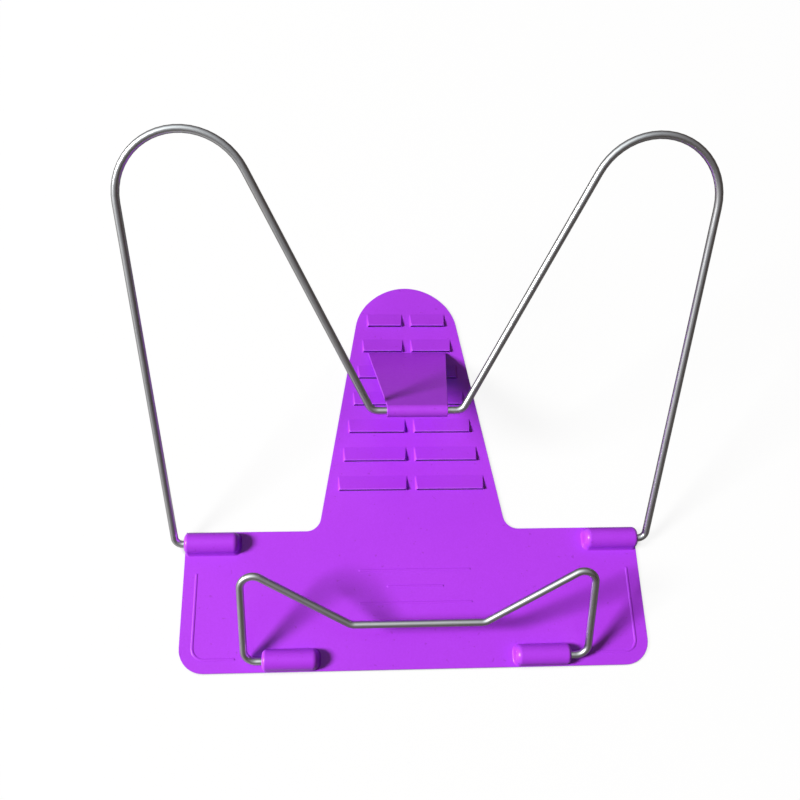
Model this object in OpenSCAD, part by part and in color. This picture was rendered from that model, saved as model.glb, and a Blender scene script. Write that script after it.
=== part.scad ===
// Folding book stand: a pressed sheet-steel base with a louvred ratchet tongue, a hinged wire back,
// a sheet prop rolled round the wire's cross bar, and a hinged wire that holds the pages.
// X runs to the right, Y to the back, Z up. Millimetres. The origin is on the underside of the base,
// midway along the line where the foot meets the tongue.

/* [Wires] */
// Diameter of the back wire and of the page wire
wire_d = 2.5; // [2:0.1:3]
// Radial play of a wire in a hinge barrel and in the roll of the prop
pivot_play = 0.08; // [0.04:0.01:0.1]

/* [Base plate] */
// Thickness of the base's steel sheet
sheet_t = 0.9; // [0.7:0.05:1.1]
// Width of the foot
foot_w = 160; // [145:1:180]
// Depth of the foot, front edge to rear edge
foot_d = 48; // [46:0.5:56]
// Radius of the foot's front corners
foot_corner_r = 8.5; // [4:0.5:12]
// Length of the tongue behind the foot's rear edge
tongue_len = 99.4; // [97:0.2:112]
// Width of the tongue where it leaves the foot
tongue_root_w = 67.2; // [60:0.2:76]
// Radius of the tongue's round tip
tongue_tip_r = 20; // [17:0.25:22]
// Radius of the inside corners between tongue and foot
root_fillet_r = 5; // [2:0.5:8]

/* [Ratchet louvres] */
// Number of louvre rows along the tongue
louvre_rows = 7; // [5:1:7]
// Distance from the foot's rear edge to the first row's lip
louvre_first_y = 14.8; // [13:0.2:17]
// Distance from one row's lip to the next
louvre_pitch = 11.2; // [10:0.1:11.6]
// Length of a louvre's slope, back to front
louvre_depth = 5.6; // [4.5:0.1:7]
// Height of a louvre's lip above the sheet
louvre_rise = 1.4; // [1.2:0.05:1.6]
// Run of the slope at each end of a louvre
louvre_end_run = 0.5; // [0.4:0.1:1.2]
// Gap between the two columns of louvres
louvre_gap = 3; // [2:0.2:6]
// Plain margin between the louvres and the edge of the tongue
louvre_margin = 4.5; // [3:0.25:7]
// Row that holds the prop, counted from the tongue's tip
notch_row = 2; // [1:1:4]

/* [Hinge barrels] */
// Length of a hinge barrel
barrel_len = 19; // [15:0.5:24]
// Outer radius of a front hinge barrel
front_barrel_r = 3.45; // [3.2:0.05:3.6]
// Outer radius of a rear hinge barrel
rear_barrel_r = 3.95; // [3.4:0.05:4]
// Offset of a front barrel from its wire, towards the middle of the foot
front_barrel_shift = 0.35; // [0.3:0.05:0.5]
// Rounding of a barrel's closed end
barrel_end_r = 2.2; // [1:0.1:2.6]
// Rounding of a barrel's mouth
barrel_mouth_r = 1.4; // [0.5:0.1:1.5]
// Depth of the closed end, from its tip to the end of the bore
barrel_cap = 2; // [1.5:0.1:3]
// Play between a wire's tip and the end of its bore
tip_play = 0.6; // [0.3:0.1:1.2]
// Gap between the sheet and the wire in its barrel
wire_lift = 0.25; // [0.2:0.05:0.5]
// Distance from the foot's rear edge to the back wire's pivot
rear_inset = 4.5; // [4:0.1:6]
// Distance from the foot's front edge to the page wire's pivot
front_inset = 3.4; // [3.3:0.1:5]
// Distance from the middle to the outer end of a front barrel
front_barrel_x = 52; // [44:0.5:54]

/* [Raised lines] */
// Height of the raised lines on the foot
line_rise = 0.2; // [0.1:0.05:0.3]
// Width of the raised lines
line_w = 1; // [0.6:0.1:1.6]
// Inset of the raised border line from the foot's edge
border_inset = 4.4; // [3:0.2:6]
// Distance from the rear edge to where the border line starts
border_start = 14.5; // [10:0.5:20]
// Length of the front run of the border line, past its corner
border_run = 10; // [4:0.5:11]
// Length of the two long centre lines
centre_line_len = 39; // [24:1:50]
// Distance from the rear edge to the first centre line
centre_line_y = 14.4; // [12:0.2:18]
// Spacing of the three centre lines
centre_line_pitch = 5.7; // [4:0.1:7]

/* [Back wire] */
// Gap from the foot's side edge to the middle of the wire's leg
leg_offset = 3.2; // [3.1:0.1:6]
// Width of the back across the outsides of its loops
back_w = 185.9; // [172:0.1:196]
// Distance from the pivot to the top of a loop
back_len = 139.4; // [125:0.2:155]
// Radius of the loops
loop_r = 20.2; // [16:0.2:24]
// Distance from the pivot to the cross bar
bar_reach = 50.2; // [49:0.1:53]
// Length of the cross bar between its bends' corners
bar_w = 30.2; // [29:0.2:36]
// Bend radius beside the barrels
hinge_bend_r = 2.8; // [2.2:0.1:2.9]
// Bend radius at the ends of the cross bar
bar_bend_r = 3.5; // [2.5:0.1:5]

/* [Prop] */
// Thickness of the prop's sheet
prop_t = 0.8; // [0.6:0.05:1]
// Distance from the cross bar to the tip of the prop
prop_len = 53.9; // [53:0.1:57]
// Width of the prop at its roll
prop_roll_w = 20.2; // [16:0.2:22]
// Width of the prop at its tip
prop_tip_w = 30.2; // [22:0.2:32]
// Distance from the louvre's lip to the prop's lower tip edge
tip_setback = 1.1; // [1:0.05:1.4]
// Gap between the prop's tip and the sheet below it
tip_lift = 0.15; // [0.1:0.05:0.3]

/* [Page wire] */
// Angle of the page wire above the foot
page_angle = 45; // [35:1:85]
// Length of wire between a front barrel and the corner of the leg
page_leg_gap = 5.9; // [5.2:0.1:8]
// Height of the upper corners, before bending
page_corner_h = 36.5; // [32:0.1:42]
// Height of the page wire's flat bar
page_bar_h = 13.9; // [10:0.1:18]
// Length of the flat bar between its bends' corners
page_bar_w = 44.4; // [34:0.2:56]
// Bend radius of the page wire
page_bend_r = 4.2; // [3:0.1:4.4]

/* [Hidden] */
$fn = 64;
sink = 0.4;
arc_step = 5;
bend_lap = 0.15;
bend_swell = 0.02;
skin = 0.05;
roll_seam = 0.3;
overcut = 1;

wire_r = wire_d / 2;
bore_r = wire_r + pivot_play;
pivot_z = sheet_t + wire_r + wire_lift;
half_foot = foot_w / 2;

// Tongue: its sides run from the root to a tangent on the tip circle.
tip_c = tongue_len - tongue_tip_r;
half_root = tongue_root_w / 2;
side_angle = acos(tongue_tip_r / norm([half_root, tip_c])) - atan2(tip_c, half_root);
side_run = tan(side_angle);
web_x = half_root + root_fillet_r * (1 / cos(side_angle) - side_run);

function tongue_half(y) = half_root - y * side_run;

// Louvres: row 1 lies nearest the foot.
function lip_y(row) = louvre_first_y + (row - 1) * louvre_pitch;
function louvre_out(row) = tongue_half(lip_y(row)) - louvre_margin;

// Back wire, in its own plane: [across, up the plane] from the pivot.
leg_x = half_foot + leg_offset;
rear_barrel_in = half_foot - barrel_len;
back_pin_in = rear_barrel_in + barrel_cap + tip_play;
loop_s = back_len - loop_r;
loop_x = back_w / 2 - wire_r - loop_r;
to_leg = [loop_x - leg_x, loop_s];
leg_lean = atan2(to_leg[0], to_leg[1]) + asin(loop_r / norm(to_leg));
bar_end = [bar_w / 2, bar_reach];
to_loop = [loop_x, loop_s] - bar_end;
inner_angle = atan2(to_loop[1], to_loop[0]) + asin(loop_r / norm(to_loop));
inner_run = 1 / tan(inner_angle);
apex_s = (leg_x - bar_end[0] + inner_run * bar_reach) / (inner_run - tan(leg_lean));
apex = [leg_x + apex_s * tan(leg_lean), apex_s];
back_half = [[back_pin_in, 0], [leg_x, 0], apex, bar_end];
back_half_r = [0, hinge_bend_r, loop_r, bar_bend_r];

// Prop: the back leans where the prop's tip meets the chosen louvre.
prop_under = bore_r + skin;
roll_r = prop_under + prop_t + skin;
pivot = [-rear_inset, pivot_z];
tip_point = [lip_y(louvre_rows + 1 - notch_row) - tip_setback, sheet_t + tip_lift];
tip_reach = norm([prop_len, prop_under]);
tip_span = norm(tip_point - pivot);
span_angle = atan2(tip_point[1] - pivot[1], tip_point[0] - pivot[0]);
bar_cos = (bar_reach ^ 2 + tip_span ^ 2 - tip_reach ^ 2) / (2 * bar_reach * tip_span);
back_angle = span_angle + acos(bar_cos);
bar_point = pivot + bar_reach * [cos(back_angle), sin(back_angle)];
to_tip = tip_point - bar_point;
prop_angle = atan2(to_tip[1], to_tip[0]) - atan2(prop_under, prop_len);

// Page wire, in its own plane.
front_barrel_in = front_barrel_x - barrel_len;
page_leg_x = front_barrel_x + page_leg_gap;
page_pin_in = front_barrel_in + barrel_cap + tip_play;
page_half = [
    [page_pin_in, 0],
    [page_leg_x, 0],
    [page_leg_x, page_corner_h],
    [page_bar_w / 2, page_bar_h]
];
page_half_r = [0, page_bend_r, page_bend_r, page_bend_r];

// A half path and its mirror image, joined in the middle.
function mirrored(half) = [for (i = [len(half) - 1 : -1 : 0]) [-half[i][0], half[i][1]]];
function reversed(v) = [for (i = [len(v) - 1 : -1 : 0]) v[i]];

// Points along an arc about c, from angle a0 to a1.
function arc(c, r, a0, a1) =
    let (n = ceil(abs(a1 - a0) / arc_step))
    [for (i = [0 : n]) let (a = a0 + (a1 - a0) * i / n) c + r * [cos(a), sin(a)]];

// Bends of a flat wire path.
function unit(v) = v / norm(v);
function turn(d1, d2) = acos(d1 * d2);
function side(d1, d2) = d1[0] * d2[1] - d1[1] * d2[0] > 0 ? 1 : -1;
function heading(p, i) = unit(p[i + 1] - p[i]);
function setback(p, r, i) =
    (i == 0 || i == len(p) - 1) ? 0 : r[i] * tan(turn(heading(p, i - 1), heading(p, i)) / 2);

module mirror_pair() {
    children();
    mirror([1, 0, 0]) children();
}

// A round wire that follows a flat path of corners p with bend radii r.
// The bends are a hair thicker than the straights, which run a little way into them.
module bent_wire(p, r) {
    last = len(p) - 1;
    for (i = [0 : last - 1]) {
        d = heading(p, i);
        from = p[i] + d * (setback(p, r, i) - (i == 0 ? 0 : bend_lap));
        to = p[i + 1] - d * (setback(p, r, i + 1) - (i + 1 == last ? 0 : bend_lap));
        translate(from) rotate([0, 90, atan2(d[1], d[0])]) cylinder(d = wire_d, h = norm(to - from));
    }
    for (i = [1 : last - 1]) {
        d1 = heading(p, i - 1);
        d2 = heading(p, i);
        s = side(d1, d2);
        centre = p[i] - d1 * setback(p, r, i) + s * r[i] * [-d1[1], d1[0]];
        first = s > 0 ? atan2(d1[1], d1[0]) - 90 : atan2(d2[1], d2[0]) + 90;
        translate(centre) rotate(first) rotate_extrude(angle = turn(d1, d2))
            translate([r[i], 0]) circle(r = wire_r + bend_swell);
    }
}

// Right half of the plate's edge, from the middle of the front round to the tip of the tongue.
function plate_edge() = concat(
    [[0, -foot_d]],
    arc([half_foot - foot_corner_r, foot_corner_r - foot_d], foot_corner_r, -90, 0),
    [[half_foot, 0]],
    arc([web_x, root_fillet_r], root_fillet_r, 270, 180 + side_angle),
    arc([0, tip_c], tongue_tip_r, side_angle, 90)
);

// One lanced louvre from x0 to x1; its lip faces the front at y.
module louvre(x0, x1, y) {
    intersection() {
        translate([x0, y, 0]) rotate([90, 0, 90]) linear_extrude(x1 - x0)
            polygon([[0, sink], [0, sheet_t + louvre_rise], [louvre_depth, sheet_t], [louvre_depth, sink]]);
        translate([0, y + louvre_depth, 0]) rotate([90, 0, 0]) linear_extrude(louvre_depth)
            polygon([
                [x0, 0],
                [x0, sheet_t],
                [x0 + louvre_end_run, sheet_t + louvre_rise],
                [x1 - louvre_end_run, sheet_t + louvre_rise],
                [x1, sheet_t],
                [x1, 0]
            ]);
    }
}

// Hollow under a louvre, open at its lip.
module louvre_hollow(x0, x1, y) {
    translate([x0 + louvre_end_run + sink, y, 0]) rotate([90, 0, 90])
        linear_extrude(x1 - x0 - 2 * (louvre_end_run + sink))
            polygon([
                [0, -overcut],
                [0, louvre_rise],
                [louvre_depth - sink, 0],
                [louvre_depth - sink, -overcut]
            ]);
}

module each_louvre_pair() {
    for (row = [1 : louvre_rows]) {
        $out = louvre_out(row);
        $lip = lip_y(row);
        children();
    }
}

// One side of the outline of a barrel of radius r, from its closed end at y = 0 to its mouth.
function barrel_edge(r) = concat(
    arc([r - barrel_end_r, barrel_end_r], barrel_end_r, -90, 0),
    arc([r - barrel_mouth_r, barrel_len - barrel_mouth_r], barrel_mouth_r, 0, 90)
);

// A pressed hinge barrel of radius r along +X with its closed end at x0.
module barrel(x0, y, r) {
    translate([x0, y, pivot_z]) rotate([90, 0, 90]) rotate_extrude(angle = 180)
        polygon(concat([[0, barrel_len], [0, 0]], barrel_edge(r)));
    translate([x0, y, sink]) rotate(-90) linear_extrude(pivot_z - sink)
        polygon(concat(barrel_edge(r), mirrored(barrel_edge(r))));
}

module barrel_bore(x0, y) {
    translate([x0 + barrel_cap, y, pivot_z]) rotate([0, 90, 0]) cylinder(r = bore_r, h = barrel_len);
}

module raised_line(x0, y0, x1, y1) {
    translate([min(x0, x1) - line_w / 2, min(y0, y1) - line_w / 2, sheet_t - sink])
        cube([abs(x1 - x0) + line_w, abs(y1 - y0) + line_w, sink + line_rise]);
}

// Right half of the border line: down the side, round the corner and a little way along the front.
module border_half() {
    r = max(foot_corner_r - border_inset, line_w);
    c = [half_foot - border_inset - r, border_inset + r - foot_d];
    outer = r + line_w / 2;
    inner = r - line_w / 2;
    translate([0, 0, sheet_t - sink]) linear_extrude(sink + line_rise) polygon(concat(
        [[c[0] - border_run, c[1] - outer]],
        arc(c, outer, -90, 0),
        [[c[0] + outer, -border_start], [c[0] + inner, -border_start]],
        arc(c, inner, 0, -90),
        [[c[0] - border_run, c[1] - inner]]
    ));
}

module base_plate() {
    color([0.62, 0.2, 0.85]) difference() {
        union() {
            linear_extrude(sheet_t) polygon(concat(plate_edge(), mirrored(plate_edge())));
            each_louvre_pair() mirror_pair() louvre(louvre_gap / 2, $out, $lip);
            mirror_pair() {
                barrel(rear_barrel_in, -rear_inset, rear_barrel_r);
                barrel(front_barrel_in, front_inset - foot_d + front_barrel_shift, front_barrel_r);
                border_half();
            }
            for (i = [0 : 2]) {
                l = (i == 1 ? 0.5 : 1) * centre_line_len / 2;
                y = -centre_line_y - i * centre_line_pitch;
                raised_line(-l, y, l, y);
            }
        }
        each_louvre_pair() mirror_pair() louvre_hollow(louvre_gap / 2, $out, $lip);
        mirror_pair() {
            barrel_bore(rear_barrel_in, -rear_inset);
            barrel_bore(front_barrel_in, front_inset - foot_d);
        }
    }
}

module back_wire() {
    color([0.75, 0.75, 0.76]) translate([0, -rear_inset, pivot_z]) rotate([back_angle, 0, 0])
        bent_wire(concat(back_half, mirrored(back_half)), concat(back_half_r, reversed(back_half_r)));
}

module prop() {
    color([0.62, 0.2, 0.85]) translate([0, bar_point[0], bar_point[1]]) rotate([prop_angle, 0, 0])
        difference() {
            union() {
                translate([-prop_roll_w / 2, 0, 0]) rotate([0, 90, 0])
                    cylinder(r = roll_r, h = prop_roll_w);
                translate([0, 0, prop_under]) linear_extrude(prop_t) polygon([
                    [-prop_roll_w / 2, 0],
                    [prop_roll_w / 2, 0],
                    [prop_tip_w / 2, prop_len],
                    [-prop_tip_w / 2, prop_len]
                ]);
            }
            translate([-prop_roll_w, 0, 0]) rotate([0, 90, 0])
                cylinder(r = bore_r, h = 2 * prop_roll_w);
            translate([-prop_roll_w, roll_seam, -roll_seam])
                cube([2 * prop_roll_w, 2 * roll_r, prop_under + roll_seam]);
        }
}

module page_wire() {
    color([0.75, 0.75, 0.76]) translate([0, front_inset - foot_d, pivot_z]) rotate([page_angle, 0, 0])
        bent_wire(concat(page_half, mirrored(page_half)), concat(page_half_r, reversed(page_half_r)));
}

base_plate();
back_wire();
prop();
page_wire();
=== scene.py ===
"""Folding book stand: a pressed and painted base, a looped wire back, a ratchet prop and a page wire."""
import math

import bmesh
import bpy
from mathutils import Matrix, Vector


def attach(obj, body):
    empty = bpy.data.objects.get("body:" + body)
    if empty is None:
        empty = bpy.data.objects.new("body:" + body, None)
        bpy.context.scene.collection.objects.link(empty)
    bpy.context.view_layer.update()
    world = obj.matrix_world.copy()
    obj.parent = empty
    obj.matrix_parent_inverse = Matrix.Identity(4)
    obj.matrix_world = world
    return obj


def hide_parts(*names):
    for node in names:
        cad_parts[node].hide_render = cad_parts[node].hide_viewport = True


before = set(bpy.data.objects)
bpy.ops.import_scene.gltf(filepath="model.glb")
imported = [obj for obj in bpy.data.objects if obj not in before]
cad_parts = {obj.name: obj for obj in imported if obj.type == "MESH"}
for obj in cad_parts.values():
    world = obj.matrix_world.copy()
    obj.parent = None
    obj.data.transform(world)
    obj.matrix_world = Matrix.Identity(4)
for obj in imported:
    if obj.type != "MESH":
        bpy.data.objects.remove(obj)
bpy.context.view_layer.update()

# Sizes in millimetres, as in the part's source. Each piece is drawn in millimetres, then brought to metres.
TO_METRES = 0.001
NEAR = 1e-4

WIRE_R = 1.25
WIRE_SIDES = 32
WIRE_TIP_R = 0.3
BEND_STEP = math.radians(7)
BORE_R = 1.33

SHEET_T = 0.9
FOOT_HALF = 80
FOOT_DEPTH = 48
FOOT_CORNER_R = 8.5
TONGUE_LEN = 99.4
TONGUE_ROOT_HALF = 33.6
TONGUE_TAPER = 0.16779
TONGUE_TIP_R = 20
ROOT_FILLET_R = 5
EDGE_R = 0.3
# Edges that turn more than this, in radians, are creases of the pressing or cut rims of the sheet.
CREASE_TURN = 0.15
RIM_TURN = 1.2

LOUVRE_ROWS = 7
LOUVRE_FIRST_Y = 14.8
LOUVRE_PITCH = 11.2
LOUVRE_DEPTH = 5.6
LOUVRE_RISE = 1.4
LOUVRE_END_RUN = 0.5
LOUVRE_HALF_GAP = 1.5
LOUVRE_MARGIN = 4.5
LOUVRE_CREASE_R = 0.25
LOUVRE_LIP_R = 0.4
LANCE_GAP = 0.1

BARREL_LEN = 19
BARREL_END_R = 2.2
BARREL_MOUTH_R = 1.4
BARREL_CAP = 2
BARREL_END_FLARE = 0.6
BORE_LEAD_IN = 0.4
BORE_LEAD_IN_GROWTH = 1.2
BORE_PAST_MOUTH = 0.6
PIVOT_Z = 2.4

# A rear barrel is drawn with a slightly narrower crown than its reach and walls that slant out to the sheet.
# Flares are those of the front and of the rear side.
REAR_PIVOT_Y = -4.5
REAR_BARREL_IN = 61
REAR_BARREL_R = 3.95
REAR_CROWN_R = 3.6
REAR_CROWN_SHIFT = 0.2
REAR_SKIRT = 1.6
REAR_FLARES = (0.75, 0.3)
FRONT_PIVOT_Y = -44.6
FRONT_BARREL_IN = 33
FRONT_BARREL_R = 3.45
FRONT_BARREL_SHIFT = 0.35
FRONT_SKIRT = 0.6
FRONT_FLARES = (0.2, 0.45)
# Rings of a barrel's skirt: the share of the flare that each has, and its height as a share of the skirt.
SKIRT_RINGS = ((0.2, 0.6), (0.55, 0.2), (0.8, 0.05), (1.0, 0.0), (1.0, -0.3))

LINE_HALF_W = 0.5
LINE_SQUASH = 0.4
LINE_FADE = 0.4
LINE_FADE_SHARE = 0.35
BORDER_INSET = 4.4
BORDER_START = 14.5
BORDER_RUN = 14.1
BORDER_CORNER_R = 4.1
CENTRE_LINE_HALVES = (19.5, 9.75, 19.5)
CENTRE_LINE_Y = 14.4
CENTRE_LINE_PITCH = 5.7

# Corners of each wire's right half in its own plane, from its tip in the barrel to the middle.
# Bends are the radii at the corners between.
BACK_LEAN = math.radians(45.548)
BACK_CORNERS = [(63.6, 0), (83.2, 0), (99.06, 221.13), (15.1, 50.2), (0, 50.2)]
BACK_BENDS = [2.8, 20.2, 3.5]
PAGE_LEAN = math.radians(45)
PAGE_CORNERS = [(35.6, 0), (57.9, 0), (57.9, 36.5), (22.2, 13.9), (0, 13.9)]
PAGE_BENDS = [4.2, 4.2, 4.2]

PROP_LEAN = math.radians(-45.07)
PROP_LEN = 53.9
PROP_T = 0.8
PROP_ROLL_HALF = 10.1
PROP_TIP_HALF = 15.1
PROP_ROLL_R = 1.38
PROP_ROLL_TURN = math.radians(262)
PROP_EDGE_R = 0.2
CROSS_BAR_Y = 30.656
CROSS_BAR_Z = 38.234


def verts_of(geom):
    return [g for g in geom if isinstance(g, bmesh.types.BMVert)]


def edges_among(verts):
    chosen = set(verts)
    found = {e for v in verts for e in v.link_edges}
    return [e for e in found if e.verts[0] in chosen and e.verts[1] in chosen]


def bevel_edges(bm, edges, offset, segments):
    return bmesh.ops.bevel(
        bm, geom=edges, offset=offset, offset_type="OFFSET", segments=segments,
        profile=0.5, affect="EDGES", material=-1, clamp_overlap=True)


def mirror_across(bm):
    """Give a right-hand half its left-hand half, joined where they meet at the middle."""
    whole = bm.verts[:] + bm.edges[:] + bm.faces[:]
    bmesh.ops.mirror(bm, geom=whole, matrix=Matrix.Identity(4), merge_dist=0.001, axis="X")
    bmesh.ops.remove_doubles(bm, verts=bm.verts[:], dist=0.0005)
    bmesh.ops.recalc_face_normals(bm, faces=bm.faces[:])


def to_object(bm, name):
    """Bring a finished bmesh to metres as an object at the origin."""
    bmesh.ops.scale(bm, verts=bm.verts[:], vec=Vector((1, 1, 1)) * TO_METRES)
    for face in bm.faces:
        face.smooth = True
    mesh = bpy.data.meshes.new(name)
    bm.to_mesh(mesh)
    bm.free()
    obj = bpy.data.objects.new(name, mesh)
    bpy.context.scene.collection.objects.link(obj)
    return obj


# Wires: a ring of vertices is drawn along straights and spun round bends, one half at a time.

def start_ring(bm, radius, sides, at, squash=1.0):
    """A ring across the path, which starts along +X. Its own round place is kept for the drawn grain."""
    across = Matrix.Rotation(math.pi / 2, 4, "Y")
    place = Matrix.Translation(at) @ across @ Matrix.Diagonal((squash, 1, 1, 1))
    ring = bmesh.ops.create_circle(bm, radius=radius, segments=sides, matrix=place)["verts"]
    grain = bm.verts.layers.float_vector["grain"]
    for i, v in enumerate(ring):
        turn = 2 * math.pi * i / sides
        v[grain] = (math.cos(turn), math.sin(turn), 0)
    return ring


def draw_straight(bm, ring, move):
    new = verts_of(bmesh.ops.extrude_edge_only(bm, edges=edges_among(ring))["geom"])
    bmesh.ops.translate(bm, verts=new, vec=move)
    return new


def draw_bend(bm, ring, centre, angle):
    steps = max(2, math.ceil(abs(angle) / BEND_STEP))
    last = bmesh.ops.spin(
        bm, geom=ring + edges_among(ring), cent=centre, axis=(0, 0, 1), angle=angle, steps=steps)["geom_last"]
    return verts_of(last)


def draw_path(bm, ring, corners, radii):
    """Draw a ring along a flat path of corners; each inner corner is bent to its radius."""
    points = [Vector((x, y, 0)) for x, y in corners]
    at = points[0]
    for i in range(1, len(points)):
        heading = (points[i] - points[i - 1]).normalized()
        if i == len(points) - 1:
            return draw_straight(bm, ring, points[i] - at)
        after = (points[i + 1] - points[i]).normalized()
        turn = math.atan2(heading.cross(after).z, heading.dot(after))
        setback = radii[i - 1] * math.tan(abs(turn) / 2)
        bend_start = points[i] - heading * setback
        ring = draw_straight(bm, ring, bend_start - at)
        side = Vector((-heading.y, heading.x, 0)) * math.copysign(1, turn)
        ring = draw_bend(bm, ring, bend_start + side * radii[i - 1], turn)
        at = points[i] + after * setback


def wire_piece(name, corners, radii, pivot_y, lean):
    bm = bmesh.new()
    bm.verts.layers.float_vector.new("grain")
    tip = start_ring(bm, WIRE_R, WIRE_SIDES, Vector((corners[0][0], 0, 0)))
    draw_path(bm, tip, corners, radii)
    cap = bmesh.ops.contextual_create(bm, geom=edges_among(tip))["faces"]
    bevel_edges(bm, list(cap[0].edges), WIRE_TIP_R, segments=3)
    mirror_across(bm)
    place = Matrix.Translation((0, pivot_y, PIVOT_Z)) @ Matrix.Rotation(lean, 4, "X")
    bmesh.ops.transform(bm, matrix=place, verts=bm.verts[:])
    return to_object(bm, name)


# Base: a flat sheet is cut to outline, lanced, pressed up and given its thickness.

def flat_outline(bm):
    tip_half = TONGUE_ROOT_HALF - TONGUE_LEN * TONGUE_TAPER
    right = [(FOOT_HALF, -FOOT_DEPTH), (FOOT_HALF, 0), (TONGUE_ROOT_HALF, 0), (tip_half, TONGUE_LEN)]
    left = [(-x, y) for x, y in reversed(right)]
    corner = {}
    for x, y in right + left:
        corner[(x, y)] = bm.verts.new((x, y, SHEET_T))
    bm.faces.new(list(corner.values()))
    slant = math.atan(TONGUE_TAPER)
    reach = math.tan((math.pi / 2 - slant) / 2)
    short_of_meeting = 0.01
    # Each corner with the length that its rounding takes off the edges, and the rounding's segments.
    rounds = [
        (right[0], FOOT_CORNER_R, 10),
        (right[2], ROOT_FILLET_R * reach, 8),
        (right[3], TONGUE_TIP_R * reach - short_of_meeting, 20),
    ]
    for (x, y), offset, segments in rounds:
        pair = [corner[(x, y)], corner[(-x, y)]]
        bmesh.ops.bevel(
            bm, geom=pair, offset=offset, offset_type="OFFSET", segments=segments,
            profile=0.5, affect="VERTICES", material=-1)


def cut_line(bm, faces, at, normal):
    geom = set(faces)
    for f in faces:
        geom.update(f.edges)
        geom.update(f.verts)
    bmesh.ops.bisect_plane(bm, geom=list(geom), dist=1e-5, plane_co=at, plane_no=normal)


def strip_faces(bm, y0, y1):
    return [f for f in bm.faces if y0 < f.calc_center_median().y < y1]


def corner_at(vert, x, y):
    """The corner at x and y of one of the faces round a vertex, or None."""
    corners = (w for f in vert.link_faces for w in f.verts)
    return next((w for w in corners if abs(w.co.x - x) < 10 * NEAR and abs(w.co.y - y) < 10 * NEAR), None)


def press_louvres(bm):
    """Cut each row's strip, lance it along its lip and press the lip up."""
    for row in range(LOUVRE_ROWS):
        lip = LOUVRE_FIRST_Y + row * LOUVRE_PITCH
        back = lip + LOUVRE_DEPTH
        cut_line(bm, bm.faces[:], (0, lip, 0), (0, 1, 0))
        cut_line(bm, bm.faces[:], (0, back, 0), (0, 1, 0))
        outer = TONGUE_ROOT_HALF - lip * TONGUE_TAPER - LOUVRE_MARGIN
        ends = [LOUVRE_HALF_GAP, LOUVRE_HALF_GAP + LOUVRE_END_RUN, outer - LOUVRE_END_RUN, outer]
        for x in ends + [-x for x in ends]:
            cut_line(bm, strip_faces(bm, lip, back), (x, 0, 0), (1, 0, 0))

        def on_lip(v, first, last):
            return abs(v.co.y - lip) < NEAR and first - NEAR < abs(v.co.x) < last + NEAR

        lance = [e for e in bm.edges if all(on_lip(v, ends[0], ends[3]) for v in e.verts)
                 and e.verts[0].co.x * e.verts[1].co.x > 0]
        bmesh.ops.split_edges(bm, edges=lance)
        raised = list({v for f in strip_faces(bm, lip, back) for v in f.verts if on_lip(v, ends[1], ends[2])})
        bmesh.ops.translate(bm, verts=raised, vec=(0, LANCE_GAP, LOUVRE_RISE))
        for v in raised:
            outward = -1 if abs(abs(v.co.x) - ends[1]) < NEAR else 1
            foot_x = (abs(v.co.x) + outward * LOUVRE_END_RUN) * math.copysign(1, v.co.x)
            foot = corner_at(v, foot_x, back)
            if foot:
                bmesh.ops.connect_vert_pair(bm, verts=[v, foot])


def on_outline(edge):
    """True for an edge on the plate's own outline, and false beside a louvre."""
    before_rows, side_band, tip_band = 1, 2, 7
    middle = (edge.verts[0].co + edge.verts[1].co) / 2
    if middle.y < LOUVRE_FIRST_Y - before_rows or middle.y > TONGUE_LEN - tip_band:
        return True
    return abs(middle.x) > TONGUE_ROOT_HALF - middle.y * TONGUE_TAPER - side_band


def sheet_blank():
    level = 0.02
    raised = SHEET_T + 0.6 * LOUVRE_RISE
    bm = bmesh.new()
    flat_outline(bm)
    press_louvres(bm)
    creases = [e for e in bm.edges if e.is_manifold and e.calc_face_angle(0) > CREASE_TURN]
    bevel_edges(bm, creases, LOUVRE_CREASE_R, segments=2)
    down = bmesh.ops.extrude_face_region(bm, geom=bm.faces[:], use_keep_orig=True)["geom"]
    bmesh.ops.translate(bm, verts=verts_of(down), vec=(0, 0, -SHEET_T))
    bmesh.ops.recalc_face_normals(bm, faces=bm.faces[:])
    rims = [e for e in bm.edges if e.is_manifold and e.calc_face_angle(0) > RIM_TURN
            and abs(e.verts[0].co.z - e.verts[1].co.z) < level]
    lips = [e for e in rims if min(v.co.z for v in e.verts) > raised]
    outline = [e for e in rims if on_outline(e) and e not in lips]
    bevel_edges(bm, outline, EDGE_R, segments=4)
    bevel_edges(bm, [e for e in lips if e.is_valid], LOUVRE_LIP_R, segments=4)
    return to_object(bm, "sheet_blank")


def end_edges(verts, x, bottom):
    """The edges round a barrel's end at x, without the one along its foot."""
    return [e for e in edges_among(verts) if all(abs(v.co.x - x) < NEAR for v in e.verts)
            and not all(abs(v.co.z - bottom) < NEAR for v in e.verts)]


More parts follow.
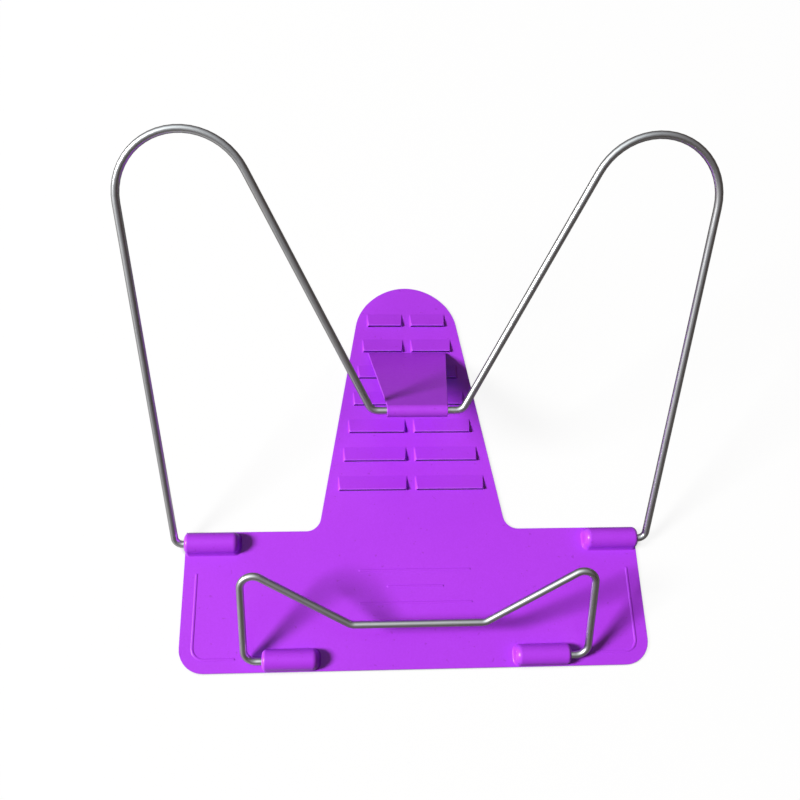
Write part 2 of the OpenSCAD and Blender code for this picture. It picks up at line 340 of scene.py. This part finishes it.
def barrel_half(bm, x_in, y, top, radius, skirt, flares):
    """One pressed hinge barrel on the right: closed towards the middle, open at its outer end.

    Over the height of its skirt it flares into the sheet, differently on its front and its rear side."""
    hair = 0.0002
    mouth = x_in + BARREL_LEN
    bottom = SHEET_T + skirt
    middle = Vector(((x_in + mouth) / 2, y, (bottom + top) / 2))
    place = Matrix.Translation(middle) @ Matrix.Diagonal((BARREL_LEN, 2 * radius, top - bottom, 1))
    verts = bmesh.ops.create_cube(bm, size=1, matrix=place)["verts"]
    crown = [e for e in edges_among(verts) if all(abs(v.co.z - top) < NEAR for v in e.verts)
             and abs(e.verts[0].co.x - e.verts[1].co.x) > NEAR]
    made = bevel_edges(bm, crown, radius - hair, segments=12)
    verts = list(set(v for v in verts if v.is_valid) | set(made["verts"]))
    bmesh.ops.remove_doubles(bm, verts=verts, dist=10 * hair)
    verts = [v for v in verts if v.is_valid]
    made = bevel_edges(bm, end_edges(verts, x_in, bottom), BARREL_END_R, segments=6)
    verts = list(set(v for v in verts if v.is_valid) | set(made["verts"]))
    bevel_edges(bm, end_edges(verts, mouth, bottom), BARREL_MOUTH_R, segments=4)

    floor = []
    for f in bm.faces:
        at = f.calc_center_median()
        faces_down = f.normal.z < -0.99 and abs(at.z - bottom) < 10 * NEAR
        if faces_down and x_in < at.x < mouth and abs(at.y - y) < radius:
            floor.append(f)
    ring = list({v for f in floor for v in f.verts})
    bmesh.ops.delete(bm, geom=floor, context="FACES_ONLY")
    hinge = Matrix.Translation((-mouth, -y, 0))
    for share, height in SKIRT_RINGS:
        edges = [e for e in edges_among(ring) if e.is_boundary]
        ring = verts_of(bmesh.ops.extrude_edge_only(bm, edges=edges)["geom"])
        bmesh.ops.translate(bm, verts=ring, vec=(0, 0, SHEET_T + height * skirt - ring[0].co.z))
        span = max(v.co.x for v in ring) - min(v.co.x for v in ring)
        stretch = (BARREL_LEN + share * BARREL_END_FLARE) / span
        for way, flare in zip((-1, 1), flares):
            side = [v for v in ring if way * (v.co.y - y) > NEAR]
            widen = (radius + share * flare) / max(abs(v.co.y - y) for v in side)
            bmesh.ops.scale(bm, verts=side, vec=(stretch, widen, 1), space=hinge)
    bmesh.ops.holes_fill(bm, edges=[e for e in edges_among(ring) if e.is_boundary], sides=0)


def barrels():
    bm = bmesh.new()
    barrel_half(
        bm, REAR_BARREL_IN, REAR_PIVOT_Y + REAR_CROWN_SHIFT, PIVOT_Z + REAR_BARREL_R,
        REAR_CROWN_R, REAR_SKIRT, REAR_FLARES)
    barrel_half(
        bm, FRONT_BARREL_IN, FRONT_PIVOT_Y + FRONT_BARREL_SHIFT, PIVOT_Z + FRONT_BARREL_R,
        FRONT_BARREL_R, FRONT_SKIRT, FRONT_FLARES)
    mirror_across(bm)
    return to_object(bm, "barrels")


def bores():
    """The wire's holes in the barrels, each with a small lead-in at its mouth."""
    bm = bmesh.new()
    bm.verts.layers.float_vector.new("grain")
    for x_in, y in ((REAR_BARREL_IN, REAR_PIVOT_Y), (FRONT_BARREL_IN, FRONT_PIVOT_Y)):
        ring = start_ring(bm, BORE_R, WIRE_SIDES, Vector((x_in + BARREL_CAP, y, PIVOT_Z)))
        bmesh.ops.contextual_create(bm, geom=edges_among(ring))
        ring = draw_straight(bm, ring, (BARREL_LEN - BARREL_CAP - BORE_LEAD_IN, 0, 0))
        ring = draw_straight(bm, ring, (BORE_LEAD_IN, 0, 0))
        grow = (1, BORE_LEAD_IN_GROWTH, BORE_LEAD_IN_GROWTH)
        bmesh.ops.scale(bm, verts=ring, vec=grow, space=Matrix.Translation((0, -y, -PIVOT_Z)))
        ring = draw_straight(bm, ring, (BORE_PAST_MOUTH, 0, 0))
        bmesh.ops.contextual_create(bm, geom=edges_among(ring))
    mirror_across(bm)
    return to_object(bm, "bores")


def embossed_line(bm, corners, radii):
    """A low raised line that rises and dies out over its ends, sunk half into the sheet."""
    x, y = corners[0]
    points = [Vector((px - x, py - y, 0)) for px, py in corners]
    turn = Matrix.Rotation(math.atan2(points[1].y, points[1].x), 4, "Z")
    back = turn.inverted()
    points = [(back @ point).to_2d()[:] for point in points]
    points[0] = (LINE_FADE, 0)
    tip = start_ring(bm, LINE_HALF_W, 12, Vector((LINE_FADE, 0, 0)), squash=LINE_SQUASH)
    before = set(bm.verts) - set(tip)
    end = draw_path(bm, tip, points, radii)
    made = [v for v in bm.verts if v not in before]
    end_way = (Vector((*points[-1], 0)) - Vector((*points[-2], 0))).normalized()
    for ring, way in ((tip, Vector((-1, 0, 0))), (end, end_way)):
        close = draw_straight(bm, ring, way * LINE_FADE)
        centre = sum((v.co for v in close), Vector()) / len(close)
        bmesh.ops.scale(bm, verts=close, vec=(LINE_FADE_SHARE,) * 3, space=Matrix.Translation(-centre))
        bmesh.ops.contextual_create(bm, geom=edges_among(close))
        made += close
    place = Matrix.Translation((x, y, SHEET_T)) @ turn
    bmesh.ops.transform(bm, matrix=place, verts=made)


def embossed_lines():
    bm = bmesh.new()
    bm.verts.layers.float_vector.new("grain")
    side_x = FOOT_HALF - BORDER_INSET
    front_y = BORDER_INSET - FOOT_DEPTH
    border = [(side_x, -BORDER_START), (side_x, front_y), (side_x - BORDER_RUN, front_y)]
    embossed_line(bm, border, [BORDER_CORNER_R])
    embossed_line(bm, [(-x, y) for x, y in border], [BORDER_CORNER_R])
    for i, half in enumerate(CENTRE_LINE_HALVES):
        y = -CENTRE_LINE_Y - CENTRE_LINE_PITCH * i
        embossed_line(bm, [(-half, y), (half, y)], [])
    bmesh.ops.recalc_face_normals(bm, faces=bm.faces[:])
    return to_object(bm, "embossed_lines")


def combine(target, others):
    """Fuse or cut with each other object, keep the result as the target's own mesh and drop the tools."""
    for tool, operation in others:
        step = target.modifiers.new(tool.name, "BOOLEAN")
        step.object = tool
        step.operation = operation
        step.solver = "EXACT"
    depsgraph = bpy.context.evaluated_depsgraph_get()
    mesh = bpy.data.meshes.new_from_object(target.evaluated_get(depsgraph))
    target.modifiers.clear()
    target.data = mesh
    for tool, _ in others:
        bpy.data.objects.remove(tool)


def mark_rims(obj):
    """Keep how sharply each point stands out, where a highlight is painted along the rims.

    Wide faces and the low raised lines stay even."""
    narrow = 0.6 * TO_METRES
    low, high = (SHEET_T - 0.01) * TO_METRES, (SHEET_T + 0.25) * TO_METRES
    least_turn, turn_span = 0.2, 0.25
    bm = bmesh.new()
    bm.from_mesh(obj.data)
    rim = bm.verts.layers.float.new("rim")
    for v in bm.verts:
        on_line = low < v.co.z < high
        if not on_line and all(2 * f.calc_area() < narrow * f.calc_perimeter() for f in v.link_faces):
            turns = [e.calc_face_angle_signed(0) for e in v.link_edges if e.is_manifold]
            v[rim] = min(1.0, max(0.0, max(turns) - least_turn) / turn_span)
    bm.to_mesh(obj.data)
    bm.free()


def settle_normals(obj):
    step = obj.modifiers.new("even_normals", "WEIGHTED_NORMAL")
    step.mode = "FACE_AREA"
    step.keep_sharp = True


def base_piece():
    obj = sheet_blank()
    obj.name = "base_pressing"
    combine(obj, [(barrels(), "UNION"), (embossed_lines(), "UNION"), (bores(), "DIFFERENCE")])
    mark_rims(obj)
    settle_normals(obj)
    return obj


def prop_piece():
    """A tapered strap whose upper end is rolled round the cross bar."""
    strips, roll_steps = 6, 36
    bm = bmesh.new()
    start = [bm.verts.new((x, 0, PROP_ROLL_R)) for x in (-PROP_ROLL_HALF, PROP_ROLL_HALF)]
    bm.edges.new(start)
    reach = start
    for strip in range(1, strips + 1):
        reach = verts_of(bmesh.ops.extrude_edge_only(bm, edges=edges_among(reach))["geom"])
        bmesh.ops.translate(bm, verts=reach, vec=(0, PROP_LEN / strips, 0))
        half = PROP_ROLL_HALF + (PROP_TIP_HALF - PROP_ROLL_HALF) * strip / strips
        for v in reach:
            v.co.x = math.copysign(half, v.co.x)
    bmesh.ops.spin(
        bm, geom=start + edges_among(start), cent=(0, 0, 0), axis=(1, 0, 0),
        angle=PROP_ROLL_TURN, steps=roll_steps)
    bmesh.ops.recalc_face_normals(bm, faces=bm.faces[:])
    flat = next(f for f in bm.faces if f.calc_center_median().y > PROP_ROLL_R)
    if flat.normal.z < 0:
        bmesh.ops.reverse_faces(bm, faces=bm.faces[:])
    bm.normal_update()
    bmesh.ops.solidify(bm, geom=bm.faces[:], thickness=-PROP_T)
    bmesh.ops.recalc_face_normals(bm, faces=bm.faces[:])
    rims = [e for e in bm.edges if e.is_manifold and e.calc_face_angle(0) > RIM_TURN]
    bevel_edges(bm, rims, PROP_EDGE_R, segments=3)
    place = Matrix.Translation((0, CROSS_BAR_Y, CROSS_BAR_Z)) @ Matrix.Rotation(PROP_LEAN, 4, "X")
    bmesh.ops.transform(bm, matrix=place, verts=bm.verts[:])
    obj = to_object(bm, "prop_strap")
    mark_rims(obj)
    settle_normals(obj)
    return obj


# Finishes. Noise scales count grains to the metre.

def finish_nodes(name):
    material = bpy.data.materials.new(name)
    material.use_nodes = True
    tree = material.node_tree
    return material, tree, tree.nodes["Principled BSDF"]


def add_node(tree, kind, **values):
    """A new node with its settings, and its inputs by their names."""
    node = tree.nodes.new(kind)
    for key, value in values.items():
        if hasattr(node, key):
            setattr(node, key, value)
        else:
            node.inputs[key].default_value = value
    return node


def noise(tree, vector, scale, detail=2.0, roughness=0.5):
    node = add_node(tree, "ShaderNodeTexNoise", Scale=scale, Detail=detail, Roughness=roughness)
    tree.links.new(vector, node.inputs["Vector"])
    return node.outputs["Fac"]


def spread(tree, value, span, result):
    """Map a value from one span to another, and hold it at the ends."""
    node = add_node(tree, "ShaderNodeMapRange")
    for key, number in zip(("From Min", "From Max", "To Min", "To Max"), span + result):
        node.inputs[key].default_value = number
    tree.links.new(value, node.inputs["Value"])
    return node.outputs["Result"]


def blend_colours(tree, factor, first, second):
    """Mix two colours, each a plain one or another node's."""
    node = add_node(tree, "ShaderNodeMix", data_type="RGBA")
    # The node has sockets of one name for numbers, vectors and colours, so the colours' are found by number.
    factor_in, first_in, second_in, mixed = node.inputs[0], node.inputs[6], node.inputs[7], node.outputs[2]
    for socket, colour in ((first_in, first), (second_in, second)):
        if isinstance(colour, tuple):
            socket.default_value = (*colour, 1)
        else:
            tree.links.new(colour, socket)
    tree.links.new(factor, factor_in)
    return mixed


def calculate(tree, operation, first, second):
    node = add_node(tree, "ShaderNodeMath", operation=operation)
    for socket, value in zip(node.inputs, (first, second)):
        if isinstance(value, (int, float)):
            socket.default_value = value
        else:
            tree.links.new(value, socket)
    return node.outputs[0]


def bump(tree, height, distance, strength, shader):
    node = add_node(tree, "ShaderNodeBump", Strength=strength, Distance=distance)
    tree.links.new(height, node.inputs["Height"])
    tree.links.new(node.outputs["Normal"], shader.inputs["Normal"])


def purple_paint():
    """Stoved purple paint: a fine speckle, a faint orange peel and a painted highlight on sharp rims."""
    purple, paler = (0.456, 0.047, 0.866), (0.470, 0.051, 0.880)
    deeper, dust, rim_highlight = (0.360, 0.024, 0.710), (0.180, 0.010, 0.370), (0.620, 0.150, 0.930)
    rim_highlight_strength = 0.55
    material, tree, shader = finish_nodes("purple_paint")
    place = add_node(tree, "ShaderNodeTexCoord").outputs["Object"]
    drift = spread(tree, noise(tree, place, scale=30), (0.35, 0.65), (0, 1))
    speckle = spread(tree, noise(tree, place, scale=1700, detail=3, roughness=0.7), (0.3, 0.7), (0, 0.3))
    specks = spread(tree, noise(tree, place, scale=640, detail=1), (0.72, 0.78), (0, 0.3))
    colour = blend_colours(tree, drift, purple, paler)
    colour = blend_colours(tree, speckle, colour, deeper)
    colour = blend_colours(tree, specks, colour, dust)
    # Painted highlight: sharp rims, such as the louvre lips and the barrel ends, are lightened towards a pale
    # pink, broken up in patches.
    rim = add_node(tree, "ShaderNodeAttribute", attribute_name="rim").outputs["Fac"]
    patch = spread(tree, noise(tree, place, scale=420, detail=4, roughness=0.65), (0.42, 0.68), (0.5, 1))
    rim_lit = calculate(tree, "MULTIPLY", calculate(tree, "MULTIPLY", rim, patch), rim_highlight_strength)
    colour = blend_colours(tree, rim_lit, colour, rim_highlight)
    tree.links.new(colour, shader.inputs["Base Color"])
    gloss = spread(tree, noise(tree, place, scale=700, detail=3), (0.3, 0.7), (0.29, 0.36))
    tree.links.new(gloss, shader.inputs["Roughness"])
    shader.inputs["IOR"].default_value = 1.45
    shader.inputs["Specular IOR Level"].default_value = 0.4
    bump(tree, noise(tree, place, scale=1300), distance=0.00004, strength=0.25, shader=shader)
    return material


def steel_wire():
    """Bright drawn steel: fine lines along the wire and duller patches where it is handled.

    The place round the wire counts for more than the place along it, which draws the noise into lines."""
    steel, bright, tarnished = (0.60, 0.60, 0.605), (0.69, 0.70, 0.705), (0.46, 0.42, 0.39)
    place_weight = 22
    material, tree, shader = finish_nodes("steel_wire")
    place = add_node(tree, "ShaderNodeTexCoord").outputs["Object"]
    grain = add_node(tree, "ShaderNodeAttribute", attribute_name="grain").outputs["Vector"]
    drawn = add_node(tree, "ShaderNodeVectorMath", operation="MULTIPLY_ADD")
    drawn.inputs[1].default_value = (place_weight,) * 3
    tree.links.new(place, drawn.inputs[0])
    tree.links.new(grain, drawn.inputs[2])
    lines = noise(tree, drawn.outputs[0], scale=7, detail=3, roughness=0.6)
    patch = noise(tree, place, scale=95, detail=3)
    colour = blend_colours(tree, spread(tree, lines, (0.35, 0.7), (0, 1)), steel, bright)
    colour = blend_colours(tree, spread(tree, patch, (0.5, 0.8), (0, 0.25)), colour, tarnished)
    tree.links.new(colour, shader.inputs["Base Color"])
    line_dullness = spread(tree, lines, (0.3, 0.7), (0.26, 0.32))
    patch_dullness = spread(tree, patch, (0.4, 0.8), (0, 0.07))
    tree.links.new(calculate(tree, "ADD", line_dullness, patch_dullness), shader.inputs["Roughness"])
    shader.inputs["Metallic"].default_value = 1
    shader.inputs["Specular Tint"].default_value = (0.45, 0.42, 0.41, 1)
    return material


def dress(obj, material, body, node):
    obj.data.materials.clear()
    obj.data.materials.append(material)
    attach(obj, body)
    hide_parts(node)


# Stage: a white floor and horizon, one soft lamp from the left, and the room that steel and paint mirror.

WHITE = (1.0, 1.0, 1.0)
FLOOR_R = 6000
FLOOR_DROP = 0.15
SLOT_REACH = 3
# Shares of the floor's white that show in mirrors: all round, and low on the left.
MIRRORED_WHITE = 0.02
MIRRORED_LEFT = 0.4
LEFT_WAY = (-0.94, -0.34, 0)
WINDOW_WAY = (-0.45, 0.05, 0.89)
WALL_WAY = (-0.95, -0.25, 0.05)

# The lamp: where its light heads, from +X, and how steeply it falls, in degrees; sizes in metres.
KEY_AZIMUTH = 7
KEY_ELEVATION = 38.5
KEY_DISTANCE = 4.0
KEY_SIZE = 1.1
KEY_WATTS = 238
STAND_MIDDLE = Vector((0, 0.01, 0.01))

# The photograph's view: azimuth from +Y, elevation and roll in degrees, and the camera's place in metres.
VIEW_AZIMUTH = 8.445
VIEW_ELEVATION = 66.457
VIEW_ROLL = 7.484
CAMERA_PLACE = (-0.0229, -0.0818, 0.3081)
LENS = 39.644
SENSOR_W = 36


def ray_kinds(tree):
    """1 for what the eye sees straight, and 1 for what metal, paint or glass mirrors."""
    ray = add_node(tree, "ShaderNodeLightPath")
    mirrored = calculate(tree, "MAXIMUM", ray.outputs["Is Glossy Ray"], ray.outputs["Is Transmission Ray"])
    return ray.outputs["Is Camera Ray"], mirrored


def along(tree, vector, axis):
    """How nearly a vector points along an axis, from -1 to 1."""
    unit = add_node(tree, "ShaderNodeVectorMath", operation="NORMALIZE")
    tree.links.new(vector, unit.inputs[0])
    node = add_node(tree, "ShaderNodeVectorMath", operation="DOT_PRODUCT")
    node.inputs[1].default_value = Vector(axis).normalized()
    tree.links.new(unit.outputs[0], node.inputs[0])
    return node.outputs["Value"]


def white_floor():
    """White to the eye with a faint shadow. Painted shade darkens its colour and glow where it is hemmed in,
    as in the slots.
    """
    bm = bmesh.new()
    bmesh.ops.create_circle(bm, cap_ends=True, radius=FLOOR_R, segments=128)
    bmesh.ops.translate(bm, verts=bm.verts[:], vec=(0, 0, -FLOOR_DROP))
    floor = to_object(bm, "floor")
    material, tree, grey = finish_nodes("floor_white")
    grey.inputs["Base Color"].default_value = (0.12, 0.115, 0.11, 1)
    grey.inputs["Roughness"].default_value = 0.9
    white = add_node(tree, "ShaderNodeBsdfDiffuse")
    glow = add_node(tree, "ShaderNodeEmission")
    painted_shade_ao = add_node(tree, "ShaderNodeAmbientOcclusion", samples=8, Distance=SLOT_REACH * TO_METRES)
    faint = add_node(tree, "ShaderNodeMixShader")
    shown = add_node(tree, "ShaderNodeMixShader")
    # Painted shade: where ambient occlusion finds the floor hemmed in, under the plate's edges and in the
    # louvre slots, its glow and colour fall away.
    tree.links.new(spread(tree, painted_shade_ao.outputs["AO"], (0.3, 0.7), (0, 0.91)), faint.inputs[0])
    tree.links.new(spread(tree, painted_shade_ao.outputs["AO"], (0.3, 0.7), (0.05, 0.95)), white.inputs["Color"])
    tree.links.new(white.outputs[0], faint.inputs[1])
    tree.links.new(glow.outputs[0], faint.inputs[2])
    seen, mirrored = ray_kinds(tree)
    place = add_node(tree, "ShaderNodeTexCoord").outputs["Object"]
    side = spread(tree, along(tree, place, LEFT_WAY), (0.7, 0.88), (MIRRORED_WHITE, MIRRORED_LEFT))
    share = calculate(tree, "MULTIPLY", mirrored, side)
    tree.links.new(calculate(tree, "MAXIMUM", seen, share), shown.inputs[0])
    tree.links.new(grey.outputs[0], shown.inputs[1])
    tree.links.new(faint.outputs[0], shown.inputs[2])
    tree.links.new(shown.outputs[0], tree.nodes["Material Output"].inputs["Surface"])
    floor.data.materials.append(material)


def room_light():
    """A dim room with a window high on the left and a pale wall below it; the eye sees plain white."""
    dark_side, bright_side = (0.07, 0.055, 0.05), (0.42, 0.43, 0.45)
    window_white, wall_grey = (1.25, 1.33, 1.35), (0.72, 0.74, 0.76)
    dark_fill, bright_fill = (0.035, 0.028, 0.024), (0.150, 0.127, 0.112)
    world = bpy.data.worlds.new("room")
    bpy.context.scene.world = world
    world.use_nodes = True
    tree = world.node_tree
    way = add_node(tree, "ShaderNodeTexCoord").outputs["Generated"]
    parts = add_node(tree, "ShaderNodeSeparateXYZ")
    tree.links.new(way, parts.inputs[0])
    facing = along(tree, way, WINDOW_WAY)
    ceiling = spread(tree, facing, (0.1, 0.75), (0, 1))
    window = spread(tree, facing, (0.76, 0.95), (0, 1))
    wall = spread(tree, along(tree, way, WALL_WAY), (0.8, 0.95), (0, 1))
    horizon = spread(tree, parts.outputs["Z"], (0.25, 0.17), (0, MIRRORED_WHITE))
    room = blend_colours(tree, ceiling, dark_side, bright_side)
    room = blend_colours(tree, window, room, window_white)
    room = blend_colours(tree, wall, room, wall_grey)
    room = blend_colours(tree, horizon, room, WHITE)
    seen, mirrored = ray_kinds(tree)
    fill = blend_colours(tree, ceiling, dark_fill, bright_fill)
    colour = blend_colours(tree, mirrored, fill, room)
    colour = blend_colours(tree, seen, colour, WHITE)
    tree.links.new(colour, tree.nodes["Background"].inputs["Color"])


def key_lamp():
    """A round soft lamp whose light passes through the stand's middle."""
    azimuth, elevation = math.radians(KEY_AZIMUTH), math.radians(KEY_ELEVATION)
    travel = Vector((
        math.cos(azimuth) * math.cos(elevation),
        math.sin(azimuth) * math.cos(elevation),
        -math.sin(elevation)))
    light = bpy.data.lights.new("key", "AREA")
    light.shape = "DISK"
    light.size = KEY_SIZE
    light.energy = KEY_WATTS
    lamp = bpy.data.objects.new("key", light)
    lamp.location = STAND_MIDDLE - travel * KEY_DISTANCE
    lamp.rotation_euler = travel.to_track_quat("-Z", "Y").to_euler()
    bpy.context.scene.collection.objects.link(lamp)


def photo_camera():
    azimuth, elevation, roll = (math.radians(x) for x in (VIEW_AZIMUTH, VIEW_ELEVATION, VIEW_ROLL))
    ahead = Vector((
        math.sin(azimuth) * math.cos(elevation),
        math.cos(azimuth) * math.cos(elevation),
        -math.sin(elevation)))
    level = Vector((math.cos(azimuth), -math.sin(azimuth), 0))
    upright = level.cross(ahead)
    right = math.cos(roll) * level + math.sin(roll) * upright
    up = math.cos(roll) * upright - math.sin(roll) * level
    data = bpy.data.cameras.new("camera")
    data.sensor_fit = "HORIZONTAL"
    data.sensor_width = SENSOR_W
    data.lens = LENS
    data.clip_start = 0.01
    camera = bpy.data.objects.new("camera", data)
    turn = Matrix((right, up, -ahead)).transposed().to_4x4()
    camera.matrix_world = Matrix.Translation(CAMERA_PLACE) @ turn
    bpy.context.scene.collection.objects.link(camera)
    bpy.context.scene.camera = camera


def build():
    photo_camera()
    white_floor()
    room_light()
    key_lamp()
    bpy.context.scene.view_settings.view_transform = "Standard"

    paint, steel = purple_paint(), steel_wire()
    dress(base_piece(), paint, "base", "base_plate")
    dress(prop_piece(), paint, "prop", "prop")
    back = wire_piece("back_wire_steel", BACK_CORNERS, BACK_BENDS, REAR_PIVOT_Y, BACK_LEAN)
    dress(back, steel, "back", "back_wire")
    page = wire_piece("page_wire_steel", PAGE_CORNERS, PAGE_BENDS, FRONT_PIVOT_Y, PAGE_LEAN)
    dress(page, steel, "page", "page_wire")


build()
